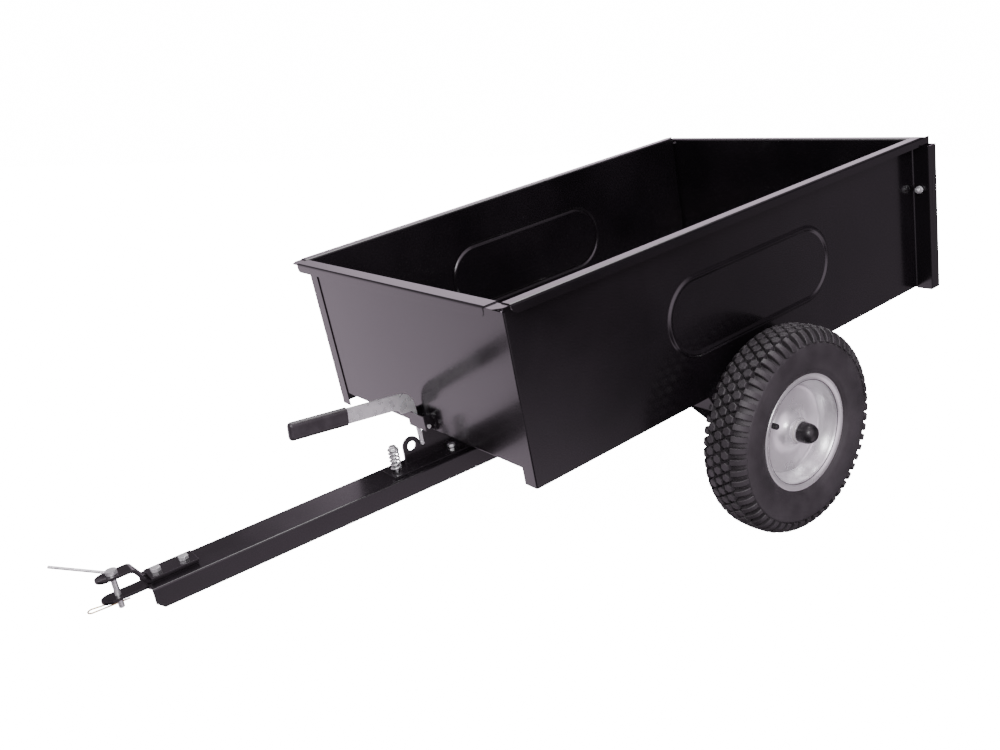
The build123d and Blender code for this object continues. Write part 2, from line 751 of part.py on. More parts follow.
def make_guide():
    """Channel behind the side panel's rear edge, which the tailgate slides in."""
    with BuildPart() as guide:
        with BuildSketch(level(bed, guide_foot)):
            box_between((tray_half_width + 1, tray_rear + gap), (guide_x, tray_rear + gap + sheet))
            box_between((guide_x - sheet, tray_rear + gap), (guide_x, tray_rear + guide_depth))
            box_between(
                (tray_half_width + 1, tray_rear + guide_depth - sheet), (guide_x, tray_rear + guide_depth)
            )
        extrude(amount=rim_level - flange_lip - 2 - guide_foot)
        with BuildSketch(level(bed, guide_foot)):
            box_between((tray_half_width - 20, tray_rear + 5), (guide_x, tray_rear + guide_depth))
        extrude(amount=sheet)
        with BuildSketch(facing_front(bed, tray_rear + sheet + 3)):
            with Locations([(guide_bolt_x, z) for z in guide_bolt_levels]):
                Circle(small_bolt_radius + gap)
        extrude(amount=sheet + 4, mode=Mode.SUBTRACT)
    return guide.part


mirrored_pair(make_guide(), "gate_guide")

guide_head = 2.6
with BuildPart() as guide_bolts:
    for guide_sign in (1, -1):
        for bolt_level in guide_bolt_levels:
            head_y = tray_rear + gap + sheet + 0.1
            ahead = turned_plane(bed, guide_sign * guide_bolt_x, head_y, bolt_level, (0, -1, 0))
            add_rod(ahead, small_bolt_radius + 4, -guide_head)
            add_rod(ahead, small_bolt_radius, 2 * sheet + 12)
save(guide_bolts.part, "guide_bolts")

with BuildPart() as guide_nuts:
    for guide_sign in (1, -1):
        for bolt_level in guide_bolt_levels:
            seat_y = tray_rear - sheet - 0.1
            ahead = turned_plane(bed, guide_sign * guide_bolt_x, seat_y, bolt_level, (0, -1, 0))
            with BuildSketch(ahead):
                Circle(small_bolt_radius + 4.5)
                Circle(small_bolt_radius + 0.05, mode=Mode.SUBTRACT)
            extrude(amount=1.6)
            with BuildSketch(ahead.offset(1.6)):
                RegularPolygon(small_across / 2, 6, major_radius=False)
                Circle(small_bolt_radius + 0.05, mode=Mode.SUBTRACT)
            extrude(amount=6)
save(guide_nuts.part, "guide_nuts")

# ------------------------------------------------------------- under-bed axle brackets
bracket_outline = [
    (-bracket_half_length, floor_level - gap), (bracket_half_length, floor_level - gap),
    (95, 52), (28, -22), (-28, -22), (-95, 52),
]
bracket_width = bracket_outer_x - bracket_inner_x
slope_low = 52.0


def make_bracket():
    with BuildPart() as bracket:
        with BuildSketch(side(bed, bracket_inner_x)):
            with BuildLine():
                Polyline(*bracket_outline, close=True)
            make_face()
        extrude(amount=bracket_width)
        with BuildSketch(side(bed, bracket_inner_x + bracket_sheet)):
            with BuildLine():
                Polyline(
                    (-bracket_half_length + 8, floor_level - bracket_sheet),
                    (bracket_half_length - 8, floor_level - bracket_sheet),
                    (91, slope_low), (100, -40), (-100, -40), (-91, slope_low), close=True,
                )
            make_face()
        extrude(amount=bracket_width - 2 * bracket_sheet, mode=Mode.SUBTRACT)
        with BuildSketch(side(bed, bracket_inner_x - 1)):
            Circle(axle_radius + running)
        extrude(amount=bracket_width + 2, mode=Mode.SUBTRACT)
        with BuildSketch(level(bed, floor_level - 10)):
            with Locations([(x, y) for x in bracket_bolts_x for y in bracket_bolts_y]):
                Circle(small_bolt_radius + gap)
        extrude(amount=20, mode=Mode.SUBTRACT)
    return bracket.part


mirrored_pair(make_bracket(), "axle_bracket")

floor_top = floor_level + sheet
with BuildPart() as bracket_bolts:
    for bracket_sign in (1, -1):
        for bolt_x in bracket_bolts_x:
            for bolt_y in bracket_bolts_y:
                seat = place(bed, bracket_sign * bolt_x, bolt_y, floor_top + 0.1)
                add_rod(seat, small_bolt_radius + 4, 2.6)
                add_rod(seat, small_bolt_radius, -(sheet + bracket_sheet + 12))
    bolt_heads = bracket_bolts.faces().filter_by(up_bed).group_by(up_bed)[-1]
    chamfer(bolt_heads.edges(), 1.2)
save(bracket_bolts.part, "bracket_bolts")

with BuildPart() as bracket_nuts:
    for bracket_sign in (1, -1):
        for bolt_x in bracket_bolts_x:
            for bolt_y in bracket_bolts_y:
                with BuildSketch(place(bed, bracket_sign * bolt_x, bolt_y, floor_level - bracket_sheet - 0.1)):
                    RegularPolygon(small_across / 2, 6, major_radius=False)
                    Circle(small_bolt_radius + 0.05, mode=Mode.SUBTRACT)
                extrude(amount=-6.5)
save(bracket_nuts.part, "bracket_nuts")

# ---------------------------------------------------------------- latch on the bed
keeper_foot = floor_level + 8
keeper_left = keeper_centre_x - keeper_half_width
keeper_right = keeper_centre_x + keeper_half_width
keeper_back = panel_y - 0.1
keeper_face = keeper_back - keeper_depth
keeper_sheet = 2.5
rivet_radius = 2.5
rivet_levels = (keeper_foot + 7, keeper_foot + 23)
tab_reach = 12.0

with BuildPart() as keeper:
    with BuildSketch(level(bed, keeper_foot)):
        box_between((keeper_left, keeper_face), (keeper_right, keeper_face + keeper_sheet))
        box_between((keeper_left, keeper_face), (keeper_left + keeper_sheet, keeper_back))
        box_between((keeper_right - keeper_sheet, keeper_face), (keeper_right, keeper_back))
        box_between((keeper_right, keeper_back - keeper_sheet), (keeper_right + tab_reach, keeper_back))
        box_between((keeper_left - tab_reach, keeper_back - keeper_sheet), (keeper_left, keeper_back))
    extrude(amount=keeper_height)
    with BuildSketch(side(bed, keeper_left - 1)):
        with Locations((lever_pivot_y, lever_pivot_level)):
            Circle(lever_pin_radius + 0.03)
    extrude(amount=2 * keeper_half_width + 2, mode=Mode.SUBTRACT)
    with BuildSketch(facing_front(bed, keeper_back + 1)):
        for rivet_x in (keeper_left - tab_reach / 2, keeper_right + tab_reach / 2):
            with Locations([(rivet_x, z) for z in rivet_levels]):
                Circle(rivet_radius + 0.1)
    extrude(amount=keeper_sheet + 2, mode=Mode.SUBTRACT)
save(keeper.part, "latch_keeper")

with BuildPart() as keeper_rivets:
    for rivet_x in (keeper_left - tab_reach / 2, keeper_right + tab_reach / 2):
        for rivet_level in rivet_levels:
            ahead = turned_plane(bed, rivet_x, keeper_back - keeper_sheet - 0.05, rivet_level, (0, -1, 0))
            add_rod(ahead, rivet_radius + 2, 1.8)
            add_rod(ahead, rivet_radius, -(keeper_sheet + 0.1))
save(keeper_rivets.part, "keeper_rivets")

with BuildPart() as lever_pin:
    pin_start = turned_plane(bed, keeper_left - 2, lever_pivot_y, lever_pivot_level, (1, 0, 0))
    add_rod(pin_start, lever_pin_radius, 2 * keeper_half_width + 4)
save(lever_pin.part, "lever_pivot_pin")

lever_near = lever_x + lever_thickness
with BuildPart() as lever_sleeves:
    for sleeve_from, sleeve_to in (
        (keeper_left + keeper_sheet + gap, lever_x - gap),
        (lever_near + gap, keeper_right - keeper_sheet - gap),
    ):
        sleeve_start = turned_plane(bed, sleeve_from, lever_pivot_y, lever_pivot_level, (1, 0, 0))
        with BuildSketch(sleeve_start):
            Circle(lever_pin_radius + 1.5)
            Circle(lever_pin_radius + 0.02, mode=Mode.SUBTRACT)
        extrude(amount=sleeve_to - sleeve_from)
save(lever_sleeves.part, "pivot_sleeves")

finger_half = 3.4
finger_tip_level = 93.0
bar_rear_top = (-578.0, 207.0)
bar_front_top = (-790.0, 236.0)
bar_height = 30.0
bar_fall = (bar_front_top[1] - bar_rear_top[1]) / (bar_rear_top[0] - bar_front_top[0])

finger_root_half = 5.0
root_level = lever_pivot_level + 24
neck_front = -582.0             # forward end of the shoulder above the keeper
under_start_y = bar_rear_top[0] - 26
under_start_z = bar_rear_top[1] - bar_height + 26 * bar_fall

with BuildPart() as lever:
    with BuildSketch(side(bed, lever_x)):
        with BuildLine():
            tip_front = (lever_pivot_y - finger_half, finger_tip_level)
            tip_rear = (lever_pivot_y + finger_half, finger_tip_level)
            root_front = (lever_pivot_y - finger_root_half, root_level)
            root_rear = (lever_pivot_y + finger_half, root_level)
            neck = (neck_front, root_level + 3)
            under_start = (under_start_y, under_start_z)
            under_end = (bar_front_top[0], bar_front_top[1] - bar_height)
            Line(bar_front_top, bar_rear_top)
            Spline(bar_rear_top, root_rear, tangents=[(1, -bar_fall), (0, -1)])
            Line(root_rear, tip_rear)
            ThreePointArc(tip_rear, (lever_pivot_y, finger_tip_level - finger_half), tip_front)
            Polyline(tip_front, root_front, neck)
            Spline(neck, under_start, tangents=[(-0.3, 1), (-1, bar_fall)])
            Polyline(under_start, under_end, bar_front_top)
        make_face()
        with Locations((lever_pivot_y, lever_pivot_level)):
            Circle(lever_pin_radius + 1.3)
            Circle(lever_pin_radius + running, mode=Mode.SUBTRACT)
    extrude(amount=lever_thickness)
save(lever.part, "latch_lever")

with BuildPart() as lever_rivet:
    rivet_face = turned_plane(
        bed, lever_near + 0.05, lever_pivot_y, finger_tip_level + 1, (1, 0, 0)
    )
    add_rod(rivet_face, 3.2, 1.6)
save(lever_rivet.part, "finger_rivet")

grip_angle = degrees(atan2(bar_fall, 1))
grip_base = Plane(
    origin=bed.from_local_coords((lever_x + lever_thickness / 2, bar_front_top[0], bar_front_top[1] - bar_height / 2)),
    x_dir=bed.x_dir,
    z_dir=bed.from_local_coords((0, cos(radians(grip_angle)), -sin(radians(grip_angle)))) - bed.origin,
)
grip_front = -16.0
with BuildPart() as grip:
    with BuildSketch(grip_base.offset(grip_front)):
        SlotOverall(grip_height, grip_width, rotation=90)
    extrude(amount=grip_length)
    fillet(grip.faces().sort_by(Axis(grip_base.origin, grip_base.z_dir))[0].edges(), 7)
    with BuildSketch(grip_base.offset(-3)):
        Rectangle(lever_thickness + 0.1, bar_height + 0.4)
    extrude(amount=grip_length, mode=Mode.SUBTRACT)
save(grip.part, "lever_grip")
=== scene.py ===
import json
import math

import bmesh
import bpy
from mathutils import Matrix, Vector


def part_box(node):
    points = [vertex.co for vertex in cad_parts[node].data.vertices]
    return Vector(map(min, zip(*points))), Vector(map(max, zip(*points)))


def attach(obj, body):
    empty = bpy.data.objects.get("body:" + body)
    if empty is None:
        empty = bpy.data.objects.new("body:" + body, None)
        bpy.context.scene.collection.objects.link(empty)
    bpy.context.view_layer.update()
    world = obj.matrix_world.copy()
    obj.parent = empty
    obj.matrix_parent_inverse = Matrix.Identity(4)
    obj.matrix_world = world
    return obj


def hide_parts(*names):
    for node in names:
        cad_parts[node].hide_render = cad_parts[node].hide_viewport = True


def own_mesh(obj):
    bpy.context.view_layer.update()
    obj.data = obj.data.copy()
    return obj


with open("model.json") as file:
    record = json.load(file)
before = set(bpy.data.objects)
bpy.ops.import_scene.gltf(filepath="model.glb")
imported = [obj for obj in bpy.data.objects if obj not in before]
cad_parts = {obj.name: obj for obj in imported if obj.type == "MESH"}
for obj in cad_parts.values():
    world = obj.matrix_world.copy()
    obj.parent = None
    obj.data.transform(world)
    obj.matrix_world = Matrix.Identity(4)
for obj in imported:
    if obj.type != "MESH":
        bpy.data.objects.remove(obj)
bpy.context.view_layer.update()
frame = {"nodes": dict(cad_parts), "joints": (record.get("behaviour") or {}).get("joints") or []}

# ---------------------------------------------------------------- studio
# A plain white floor, two large soft lamps, and a dim room with a few pale surfaces
# around the cart that its gloss paint can mirror.
joints = {joint["name"]: joint for joint in frame["joints"]}
axle_point = Vector(joints["bed_tip"]["pos_m"])
camera_place = axle_point + Vector((1.57308, -1.51059, 0.54778))
camera_turn, camera_fall, camera_roll = (math.radians(a) for a in (54.13, 13.61, -0.41))
across = Vector((math.cos(camera_turn), math.sin(camera_turn), 0))
behind = Vector((
    math.sin(camera_turn) * math.cos(camera_fall), -math.cos(camera_turn) * math.cos(camera_fall),
    math.sin(camera_fall),
))
upright = behind.cross(across)
rolled_across = across * math.cos(camera_roll) + upright * math.sin(camera_roll)
rolled_upright = upright * math.cos(camera_roll) - across * math.sin(camera_roll)
camera_axes = Matrix((rolled_across, rolled_upright, behind)).transposed()
camera = bpy.data.objects.new("camera", bpy.data.cameras.new("camera"))
camera.data.sensor_width = 36.0
camera.data.lens = 35.475
camera.matrix_world = Matrix.Translation(camera_place) @ camera_axes.to_4x4()
bpy.context.scene.collection.objects.link(camera)
bpy.context.scene.camera = camera


def soft_lamp(name, place, target, width, power):
    """Square lamp at a place, turned to face a target."""
    lamp = bpy.data.objects.new(name, bpy.data.lights.new(name, "AREA"))
    lamp.data.size = width
    lamp.data.energy = power
    lamp.location = place
    lamp.rotation_euler = (Vector(target) - Vector(place)).to_track_quat("-Z", "Y").to_euler()
    bpy.context.scene.collection.objects.link(lamp)
    return lamp


cart_middle = (0, -0.1, 0.3)
soft_lamp("lamp_beside_camera", (2.6, -2.2, 1.9), cart_middle, 1.6, 85)
soft_lamp("lamp_overhead", (-0.4, 0.3, 3.4), cart_middle, 2.4, 120)


def clear():
    """Leave edit mode and deselect everything."""
    if bpy.context.mode != "OBJECT":
        bpy.ops.object.mode_set(mode="OBJECT")
    bpy.ops.object.select_all(action="DESELECT")


clear()
bpy.ops.mesh.primitive_plane_add(size=60, location=(0, 0, 0))
floor = bpy.context.object
floor.name = "studio_floor"
floor.visible_glossy = False
floor.visible_diffuse = False
floor_paint = bpy.data.materials.new("studio_floor_paint")
floor_paint.use_nodes = True
floor_shader = floor_paint.node_tree.nodes["Principled BSDF"]
floor_shader.inputs["Base Color"].default_value = (0.8, 0.8, 0.8, 1)
floor_shader.inputs["Roughness"].default_value = 0.9
floor_shader.inputs["Specular IOR Level"].default_value = 0.0
floor_shader.inputs["Emission Color"].default_value = (1, 1, 1, 1)
floor_shader.inputs["Emission Strength"].default_value = 16.0
floor.data.materials.append(floor_paint)

room = bpy.data.worlds.new("room")
bpy.context.scene.world = room
room.use_nodes = True
sky = room.node_tree
sky.nodes.clear()
look = sky.nodes.new("ShaderNodeTexCoord")
glow_sum = None
glow_strengths = (
    # direction of each pale surface, degrees to its full and faded edge, brightness
    ((-0.80, -0.42, -0.42), 18, 50, 1.2),
    ((-0.64, 0.68, 0.36), 10, 34, 1.6),
    ((0.55, -0.75, 0.35), 20, 60, 0.55),
    ((1.0, -0.15, 0.25), 12, 46, 1.5),
    ((0.45, 0.88, -0.08), 4, 22, 0.20),
    ((0.66, 0.42, -0.62), 8, 28, 1.1),
    ((0.0, -0.1, 1.0), 15, 62, 0.7),
    ((-0.9, -0.1, 0.3), 10, 40, 0.12),
)
room_dimness = 0.07
for direction, full, faded, brightness in glow_strengths:
    facing = sky.nodes.new("ShaderNodeVectorMath")
    facing.operation = "DOT_PRODUCT"
    facing.inputs[1].default_value = Vector(direction).normalized()
    sky.links.new(look.outputs["Generated"], facing.inputs[0])
    fade = sky.nodes.new("ShaderNodeMapRange")
    fade.interpolation_type = "SMOOTHSTEP"
    fade.inputs["From Min"].default_value = math.cos(math.radians(faded))
    fade.inputs["From Max"].default_value = math.cos(math.radians(full))
    fade.inputs["To Max"].default_value = brightness
    sky.links.new(facing.outputs["Value"], fade.inputs["Value"])
    total = sky.nodes.new("ShaderNodeMath")
    total.operation = "ADD"
    sky.links.new(fade.outputs["Result"], total.inputs[0])
    total.inputs[1].default_value = room_dimness
    if glow_sum:
        sky.links.new(glow_sum, total.inputs[1])
    glow_sum = total.outputs[0]
seen = sky.nodes.new("ShaderNodeLightPath")
soft = sky.nodes.new("ShaderNodeBackground")
plain = sky.nodes.new("ShaderNodeBackground")
plain.inputs["Strength"].default_value = 20.0
soft.inputs["Color"].default_value = (1.0, 0.84, 0.99, 1)
either = sky.nodes.new("ShaderNodeMixShader")
out = sky.nodes.new("ShaderNodeOutputWorld")
sky.links.new(glow_sum, soft.inputs["Strength"])
sky.links.new(seen.outputs["Is Camera Ray"], either.inputs["Fac"])
sky.links.new(soft.outputs[0], either.inputs[1])
sky.links.new(plain.outputs[0], either.inputs[2])
sky.links.new(either.outputs[0], out.inputs["Surface"])

# ---------------------------------------------------------------- tongue
# The draw bar is one folded steel channel, open below, with its nose corners cut off.
# It is powder coated gloss black. It runs from the hitch to the axle.
def tilted(up):
    """Places a piece drawn level about the axle, with its own up along the given direction."""
    up = Vector(up).normalized()
    rearward = Vector((0, up.z, -up.y))
    axes = Matrix((Vector((1, 0, 0)), rearward, up)).transposed()
    return Matrix.Translation(axle_point) @ axes.to_4x4()


tongue_place = tilted(joints["hitch_pin_lift"]["axis"])
bed_place = tilted(joints["tailgate_slide"]["axis"])


def level_box(place, node):
    """Lowest and highest corner of a CAD node in a tilted piece's own frame."""
    back = place.inverted()
    points = [back @ v.co for v in frame["nodes"][node].data.vertices]
    low = Vector([min(p[i] for p in points) for i in range(3)])
    high = Vector([max(p[i] for p in points) for i in range(3)])
    return low, high


def draw_line(name, points):
    """Start a piece as one point and extrude it along a line of points. Stays in edit mode."""
    clear()
    bpy.ops.mesh.primitive_plane_add(size=0.001, location=(0, 0, 0))
    piece = bpy.context.object
    piece.name = name
    piece.data.name = name
    bpy.ops.object.mode_set(mode="EDIT")
    bpy.ops.mesh.select_mode(type="VERT")
    bpy.ops.mesh.merge(type="CENTER")
    extend_line(points, start=True)
    return piece


def extend_line(points, start=False):
    """Extrude the selected point along a line of points."""
    first = Vector(points[0])
    if start:
        bpy.ops.transform.translate(value=first)
    for near, far in zip(points, points[1:]):
        step = Vector(far) - Vector(near)
        bpy.ops.mesh.extrude_region_move(TRANSFORM_OT_translate={"value": step})


def pick(kind, test):
    """Select the points, edges or faces of the piece in edit mode that pass the test."""
    bpy.ops.mesh.select_mode(type=kind)
    bpy.ops.mesh.select_all(action="DESELECT")
    shape = bmesh.from_edit_mesh(bpy.context.object.data)
    if kind == "VERT":
        for point in shape.verts:
            point.select_set(test(point.co))
    elif kind == "EDGE":
        for edge in shape.edges:
            edge.select_set(test(edge))
    else:
        for face in shape.faces:
            face.select_set(test(face))
    bmesh.update_edit_mesh(bpy.context.object.data)


def extrude(step):
    """Extrude what is selected."""
    bpy.ops.mesh.extrude_region_move(TRANSFORM_OT_translate={"value": Vector(step)})


def extrude_all(step):
    """Extrude the whole line that was drawn into a sheet."""
    bpy.ops.mesh.select_all(action="SELECT")
    extrude(step)


def round_bends(radius, steps=5):
    """Give each fold of an open sheet its bend radius."""
    bpy.ops.mesh.select_mode(type="EDGE")
    bpy.ops.mesh.select_all(action="DESELECT")
    bpy.ops.mesh.edges_select_sharp(sharpness=math.radians(40))
    bpy.ops.mesh.bevel(offset=radius, segments=steps, affect="EDGES")


def round_corners(test, radius, steps=6):
    """Round corners of an open sheet, picked by place."""
    pick("VERT", test)
    bpy.ops.mesh.bevel(offset=radius, segments=steps, affect="VERTICES")


def face_out(near, direction):
    """Turn an open sheet so that its face nearest to a point looks along a direction."""
    shape = bmesh.from_edit_mesh(bpy.context.object.data)
    closest = min(shape.faces, key=lambda f: (f.calc_center_median() - Vector(near)).length)
    closest.normal_update()
    if closest.normal.dot(Vector(direction)) < 0:
        bpy.ops.mesh.select_mode(type="FACE")
        bpy.ops.mesh.select_all(action="SELECT")
        bpy.ops.mesh.flip_normals()


def apply_modifier(piece, kind, **settings):
    """Add one modifier with its settings and apply it."""
    modifier = piece.modifiers.new(kind.lower(), kind)
    for setting, value in settings.items():
        setattr(modifier, setting, value)
    clear()
    bpy.context.view_layer.objects.active = piece
    piece.select_set(True)
    bpy.ops.object.modifier_apply(modifier=modifier.name)


def thicken(piece, thickness, middle=False):
    """Give a sheet its thickness, inwards from its drawn face."""
    offset = 0.0 if middle else -1.0
    apply_modifier(piece, "SOLIDIFY", thickness=thickness, offset=offset, use_even_offset=True)


def smooth(piece, edge=0.0, steps=2, angle=35):
    """Break the sharp edges and shade the piece smooth, with its flat faces kept flat."""
    if edge:
        apply_modifier(
            piece, "BEVEL", width=edge, segments=steps, limit_method="ANGLE", angle_limit=math.radians(angle)
        )
    clear()
    bpy.context.view_layer.objects.active = piece
    piece.select_set(True)
    bpy.ops.object.shade_smooth_by_angle(angle=math.radians(42))
    apply_modifier(piece, "WEIGHTED_NORMAL", keep_sharp=True, weight=80)


def mirrored(piece, name):
    """The same piece for the cart's other side, with its own mesh."""
    twin = piece.copy()
    twin.data = piece.data.copy()
    twin.name = name
    twin.data.name = name
    bpy.context.scene.collection.objects.link(twin)
    twin.data.transform(Matrix.Scale(-1, 4, (1, 0, 0)))
    twin.data.flip_normals()
    return twin


def fit(piece, body, slot, paint, *nodes):
    """Paint a finished piece and fix it to its body in place of its CAD nodes."""
    clear()
    piece.data.materials.clear()
    piece.data.materials.append(paint)
    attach(piece, body)
    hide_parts(*nodes)


def carry(node, name, place=None):
    """A copy of a CAD node's own mesh, joined into whole faces, left in edit mode."""
    clear()
    piece = frame["nodes"][node].copy()
    piece.data = piece.data.copy()
    for key in list(piece.keys()):
        del piece[key]
    piece.parent = None
    piece.name = name
    piece.data.name = name
    bpy.context.scene.collection.objects.link(piece)
    if place:
        piece.data.transform(place.inverted())
    bpy.context.view_layer.objects.active = piece
    piece.select_set(True)
    piece.hide_render = False
    piece.hide_viewport = False
    bpy.ops.mesh.customdata_custom_splitnormals_clear()
    bpy.ops.object.mode_set(mode="EDIT")
    bpy.ops.mesh.select_mode(type="VERT")
    bpy.ops.mesh.select_all(action="SELECT")
    bpy.ops.mesh.remove_doubles(threshold=0.00001)
    bpy.ops.mesh.dissolve_limited(angle_limit=math.radians(1.5))
    return piece


def finish(name, tones, roughness, patch, grain, lift, spread=(0.36, 0.66), **sockets):
    """Surface finish: its colour and gloss drift in clouds, and a fine grain raises it."""
    paint = bpy.data.materials.new(name)
    paint.use_nodes = True
    tree = paint.node_tree
    shader = tree.nodes["Principled BSDF"]
    for socket, value in sockets.items():
        shader.inputs[socket.replace("_", " ")].default_value = value
    where = tree.nodes.new("ShaderNodeTexCoord")
    clouds = tree.nodes.new("ShaderNodeTexNoise")
    clouds.inputs["Scale"].default_value = patch
    clouds.inputs["Detail"].default_value = 5.0
    fine = tree.nodes.new("ShaderNodeTexNoise")
    fine.inputs["Scale"].default_value = grain
    fine.inputs["Detail"].default_value = 3.0
    tint = tree.nodes.new("ShaderNodeValToRGB")
    for element, tone, stop in zip(tint.color_ramp.elements, tones, spread):
        element.color = (*tone, 1)
        element.position = stop
    gloss = tree.nodes.new("ShaderNodeMapRange")
    gloss.inputs["From Min"].default_value = 0.3
    gloss.inputs["From Max"].default_value = 0.7
    gloss.inputs["To Min"].default_value = roughness[0]
    gloss.inputs["To Max"].default_value = roughness[1]
    raised = tree.nodes.new("ShaderNodeBump")
    raised.inputs["Strength"].default_value = 1.0
    raised.inputs["Distance"].default_value = lift
    tree.links.new(where.outputs["Object"], clouds.inputs["Vector"])
    tree.links.new(where.outputs["Object"], fine.inputs["Vector"])
    tree.links.new(clouds.outputs["Fac"], tint.inputs["Fac"])
    tree.links.new(tint.outputs["Color"], shader.inputs["Base Color"])
    tree.links.new(clouds.outputs["Fac"], gloss.inputs["Value"])
    tree.links.new(gloss.outputs["Result"], shader.inputs["Roughness"])
    tree.links.new(fine.outputs["Fac"], raised.inputs["Height"])
    tree.links.new(raised.outputs["Normal"], shader.inputs["Normal"])
    return paint


frame_black = finish(
    "frame_black_powder_coat", ((0.0070, 0.0059, 0.0072), (0.0115, 0.0097, 0.0117)),
    (0.16, 0.26), 9, 120, 0.000004, Coat_Weight=0.3, Coat_Roughness=0.10,
)
tongue_low, tongue_high = level_box(tongue_place, "tongue")
nose_cut = 0.012
tongue = draw_line("tongue", [
    (tongue_low.x, tongue_low.y, tongue_low.z), (tongue_low.x, tongue_low.y, tongue_high.z),
    (tongue_high.x, tongue_low.y, tongue_high.z), (tongue_high.x, tongue_low.y, tongue_low.z),
])
extrude_all((0, tongue_high.y - tongue_low.y, 0))
bpy.ops.mesh.select_all(action="SELECT")
bpy.ops.mesh.bisect(
    plane_co=(0, tongue_low.y + nose_cut, tongue_low.z), plane_no=(0, -1, -1), clear_outer=True
)
tongue_bend, tongue_sheet = 0.0032, 0.0025
round_bends(tongue_bend)
face_out((0, 0, tongue_high.z), (0, 0, 1))
thicken(tongue, tongue_sheet)
tongue.data.transform(tongue_place)
smooth(tongue, 0.0003)
fit(tongue, "chassis", "gloss_black_frame", frame_black, "tongue")

# ---------------------------------------------------------------- axle
# A plain turned steel bar right across the cart, held by a black cheek plate inside
# each wall of the draw bar. Hex bolts and nuts clamp the cheeks.
bare_steel = finish(
    "bare_axle_steel", ((0.46, 0.45, 0.44), (0.58, 0.57, 0.56)), (0.28, 0.42), 40, 900, 0.00001,
    Metallic=0.8,
)
bright_zinc = finish(
    "bright_zinc_plate", ((0.76, 0.79, 0.78), (0.90, 0.92, 0.91)), (0.24, 0.34), 55, 400, 0.000002,
    Metallic=0.72,
)


def carry_plain(node, edge, slot, paint, body, steps=2, angle=35):
    """Carry a CAD node over with broken edges and its own finish."""
    piece = carry(node, node + "_finished")
    smooth(piece, edge, steps, angle)
    fit(piece, body, slot, paint, node)
    return piece


carry_plain("axle", 0.0, "bare_axle", bare_steel, "chassis")
for side_name in ("left", "right"):
    carry_plain("axle_cheek_" + side_name, 0.0004, "gloss_black_frame", frame_black, "chassis")
for node in ("cheek_bolts", "cheek_nuts"):
    carry_plain(node, 0.0006, "zinc_fasteners", bright_zinc, "chassis")

# ---------------------------------------------------------------- tyres
# Moulded rubber turf tyres. The rounded carcass carries rows of small six-sided blocks
# and a ring of shoulder bars that run a little way down each sidewall.
wheel_point = Vector(joints["left_wheel_spin"]["pos_m"])
middle_x = wheel_point.x


def turn(steps=96):
    """Spin the drawn outline about the axle into a closed ring."""
    bpy.ops.mesh.select_mode(type="VERT")
    bpy.ops.mesh.select_all(action="SELECT")
    bpy.ops.mesh.spin(steps=steps, angle=2 * math.pi, center=wheel_point, axis=(1, 0, 0))
    bpy.ops.mesh.select_all(action="SELECT")
    bpy.ops.mesh.remove_doubles(threshold=0.00001)
    bpy.ops.mesh.normals_make_consistent(inside=False)


def radial(points):
    """Points given as millimetres across the wheel and millimetres from the axle."""
    return [(middle_x + x / 1000, wheel_point.y, wheel_point.z + r / 1000) for x, r in points]


rubber = finish(
    "tyre_rubber", ((0.026, 0.024, 0.026), (0.042, 0.039, 0.042)), (0.46, 0.62), 22, 700, 0.00010,
    Specular_IOR_Level=0.5,
)
half_carcass = [
    (36.2, 101.5), (36.6, 108), (37.4, 114.6), (39.4, 117.0), (41.6, 119.6), (42.6, 122.4), (44.4, 123.8),
    (46.0, 129), (47.6, 136), (48.7, 145), (49.0, 154), (48.4, 163), (47.0, 171), (46.2, 173.6),
    (43.0, 176.2), (39.2, 180.6), (34.4, 184.4), (28.0, 187.4), (20.0, 189.6), (11.0, 190.6), (0, 191.0),
]
far_carcass = [(-x, r) for x, r in half_carcass[-2::-1]]
carcass = draw_line("tyre_left", radial(half_carcass + far_carcass + half_carcass[:1]))
turn(144)
smooth(carcass, angle=60)

block_rows = ((0, 0.0, 195.4, 0), (-17.0, 0.5, 194.5, 4), (17.0, 0.5, 194.5, -4))
pitches = 56
pitch = 2 * math.pi / pitches
block_radius, block_depth, block_chamfer = 0.0091, 0.0150, 0.0012
block_top = 0.2005
tread_parts = []
for across_mm, shift, foot_mm, lean in block_rows:
    swing = shift * pitch
    reach = foot_mm / 1000
    clear()
    bpy.ops.mesh.primitive_cylinder_add(
        vertices=6, radius=block_radius, depth=block_depth,
        location=wheel_point
        + Vector((across_mm / 1000, -reach * math.sin(swing), reach * math.cos(swing))),
        rotation=(swing, -math.radians(lean), 0),
    )
    block = bpy.context.object
    bpy.ops.object.transform_apply(location=True, rotation=True, scale=True)
    bpy.ops.object.mode_set(mode="EDIT")
    pick("EDGE", lambda e: all((v.co - wheel_point).length > block_top for v in e.verts))
    bpy.ops.mesh.bevel(offset=block_chamfer, segments=1, affect="EDGES")
    bpy.ops.object.mode_set(mode="OBJECT")
    tread_parts.append(block)
lug_line = [(27.4, 200.0), (32.0, 198.4), (37.2, 195.0), (42.2, 190.0), (46.2, 183.6), (48.6, 175.6)]
lug_width, lug_depth = 0.0112, 0.0110
lug = draw_line("lug", radial(lug_line))
extrude_all((0, lug_width, 0))
bpy.ops.mesh.select_all(action="SELECT")
bpy.ops.transform.translate(value=(0, -lug_width / 2, 0))
face_out(radial([(30, 205)])[0], (0.3, 0, 1))
thicken(lug, lug_depth)
apply_modifier(lug, "BEVEL", width=0.0011, segments=1, limit_method="ANGLE", angle_limit=math.radians(50))
bpy.context.view_layer.objects.active = lug
far_lug = lug.copy()
far_lug.data = lug.data.copy()
bpy.context.scene.collection.objects.link(far_lug)
far_lug.data.transform(Matrix.Translation((2 * middle_x, 0, 0)) @ Matrix.Scale(-1, 4, (1, 0, 0)))
far_lug.data.flip_normals()
clear()
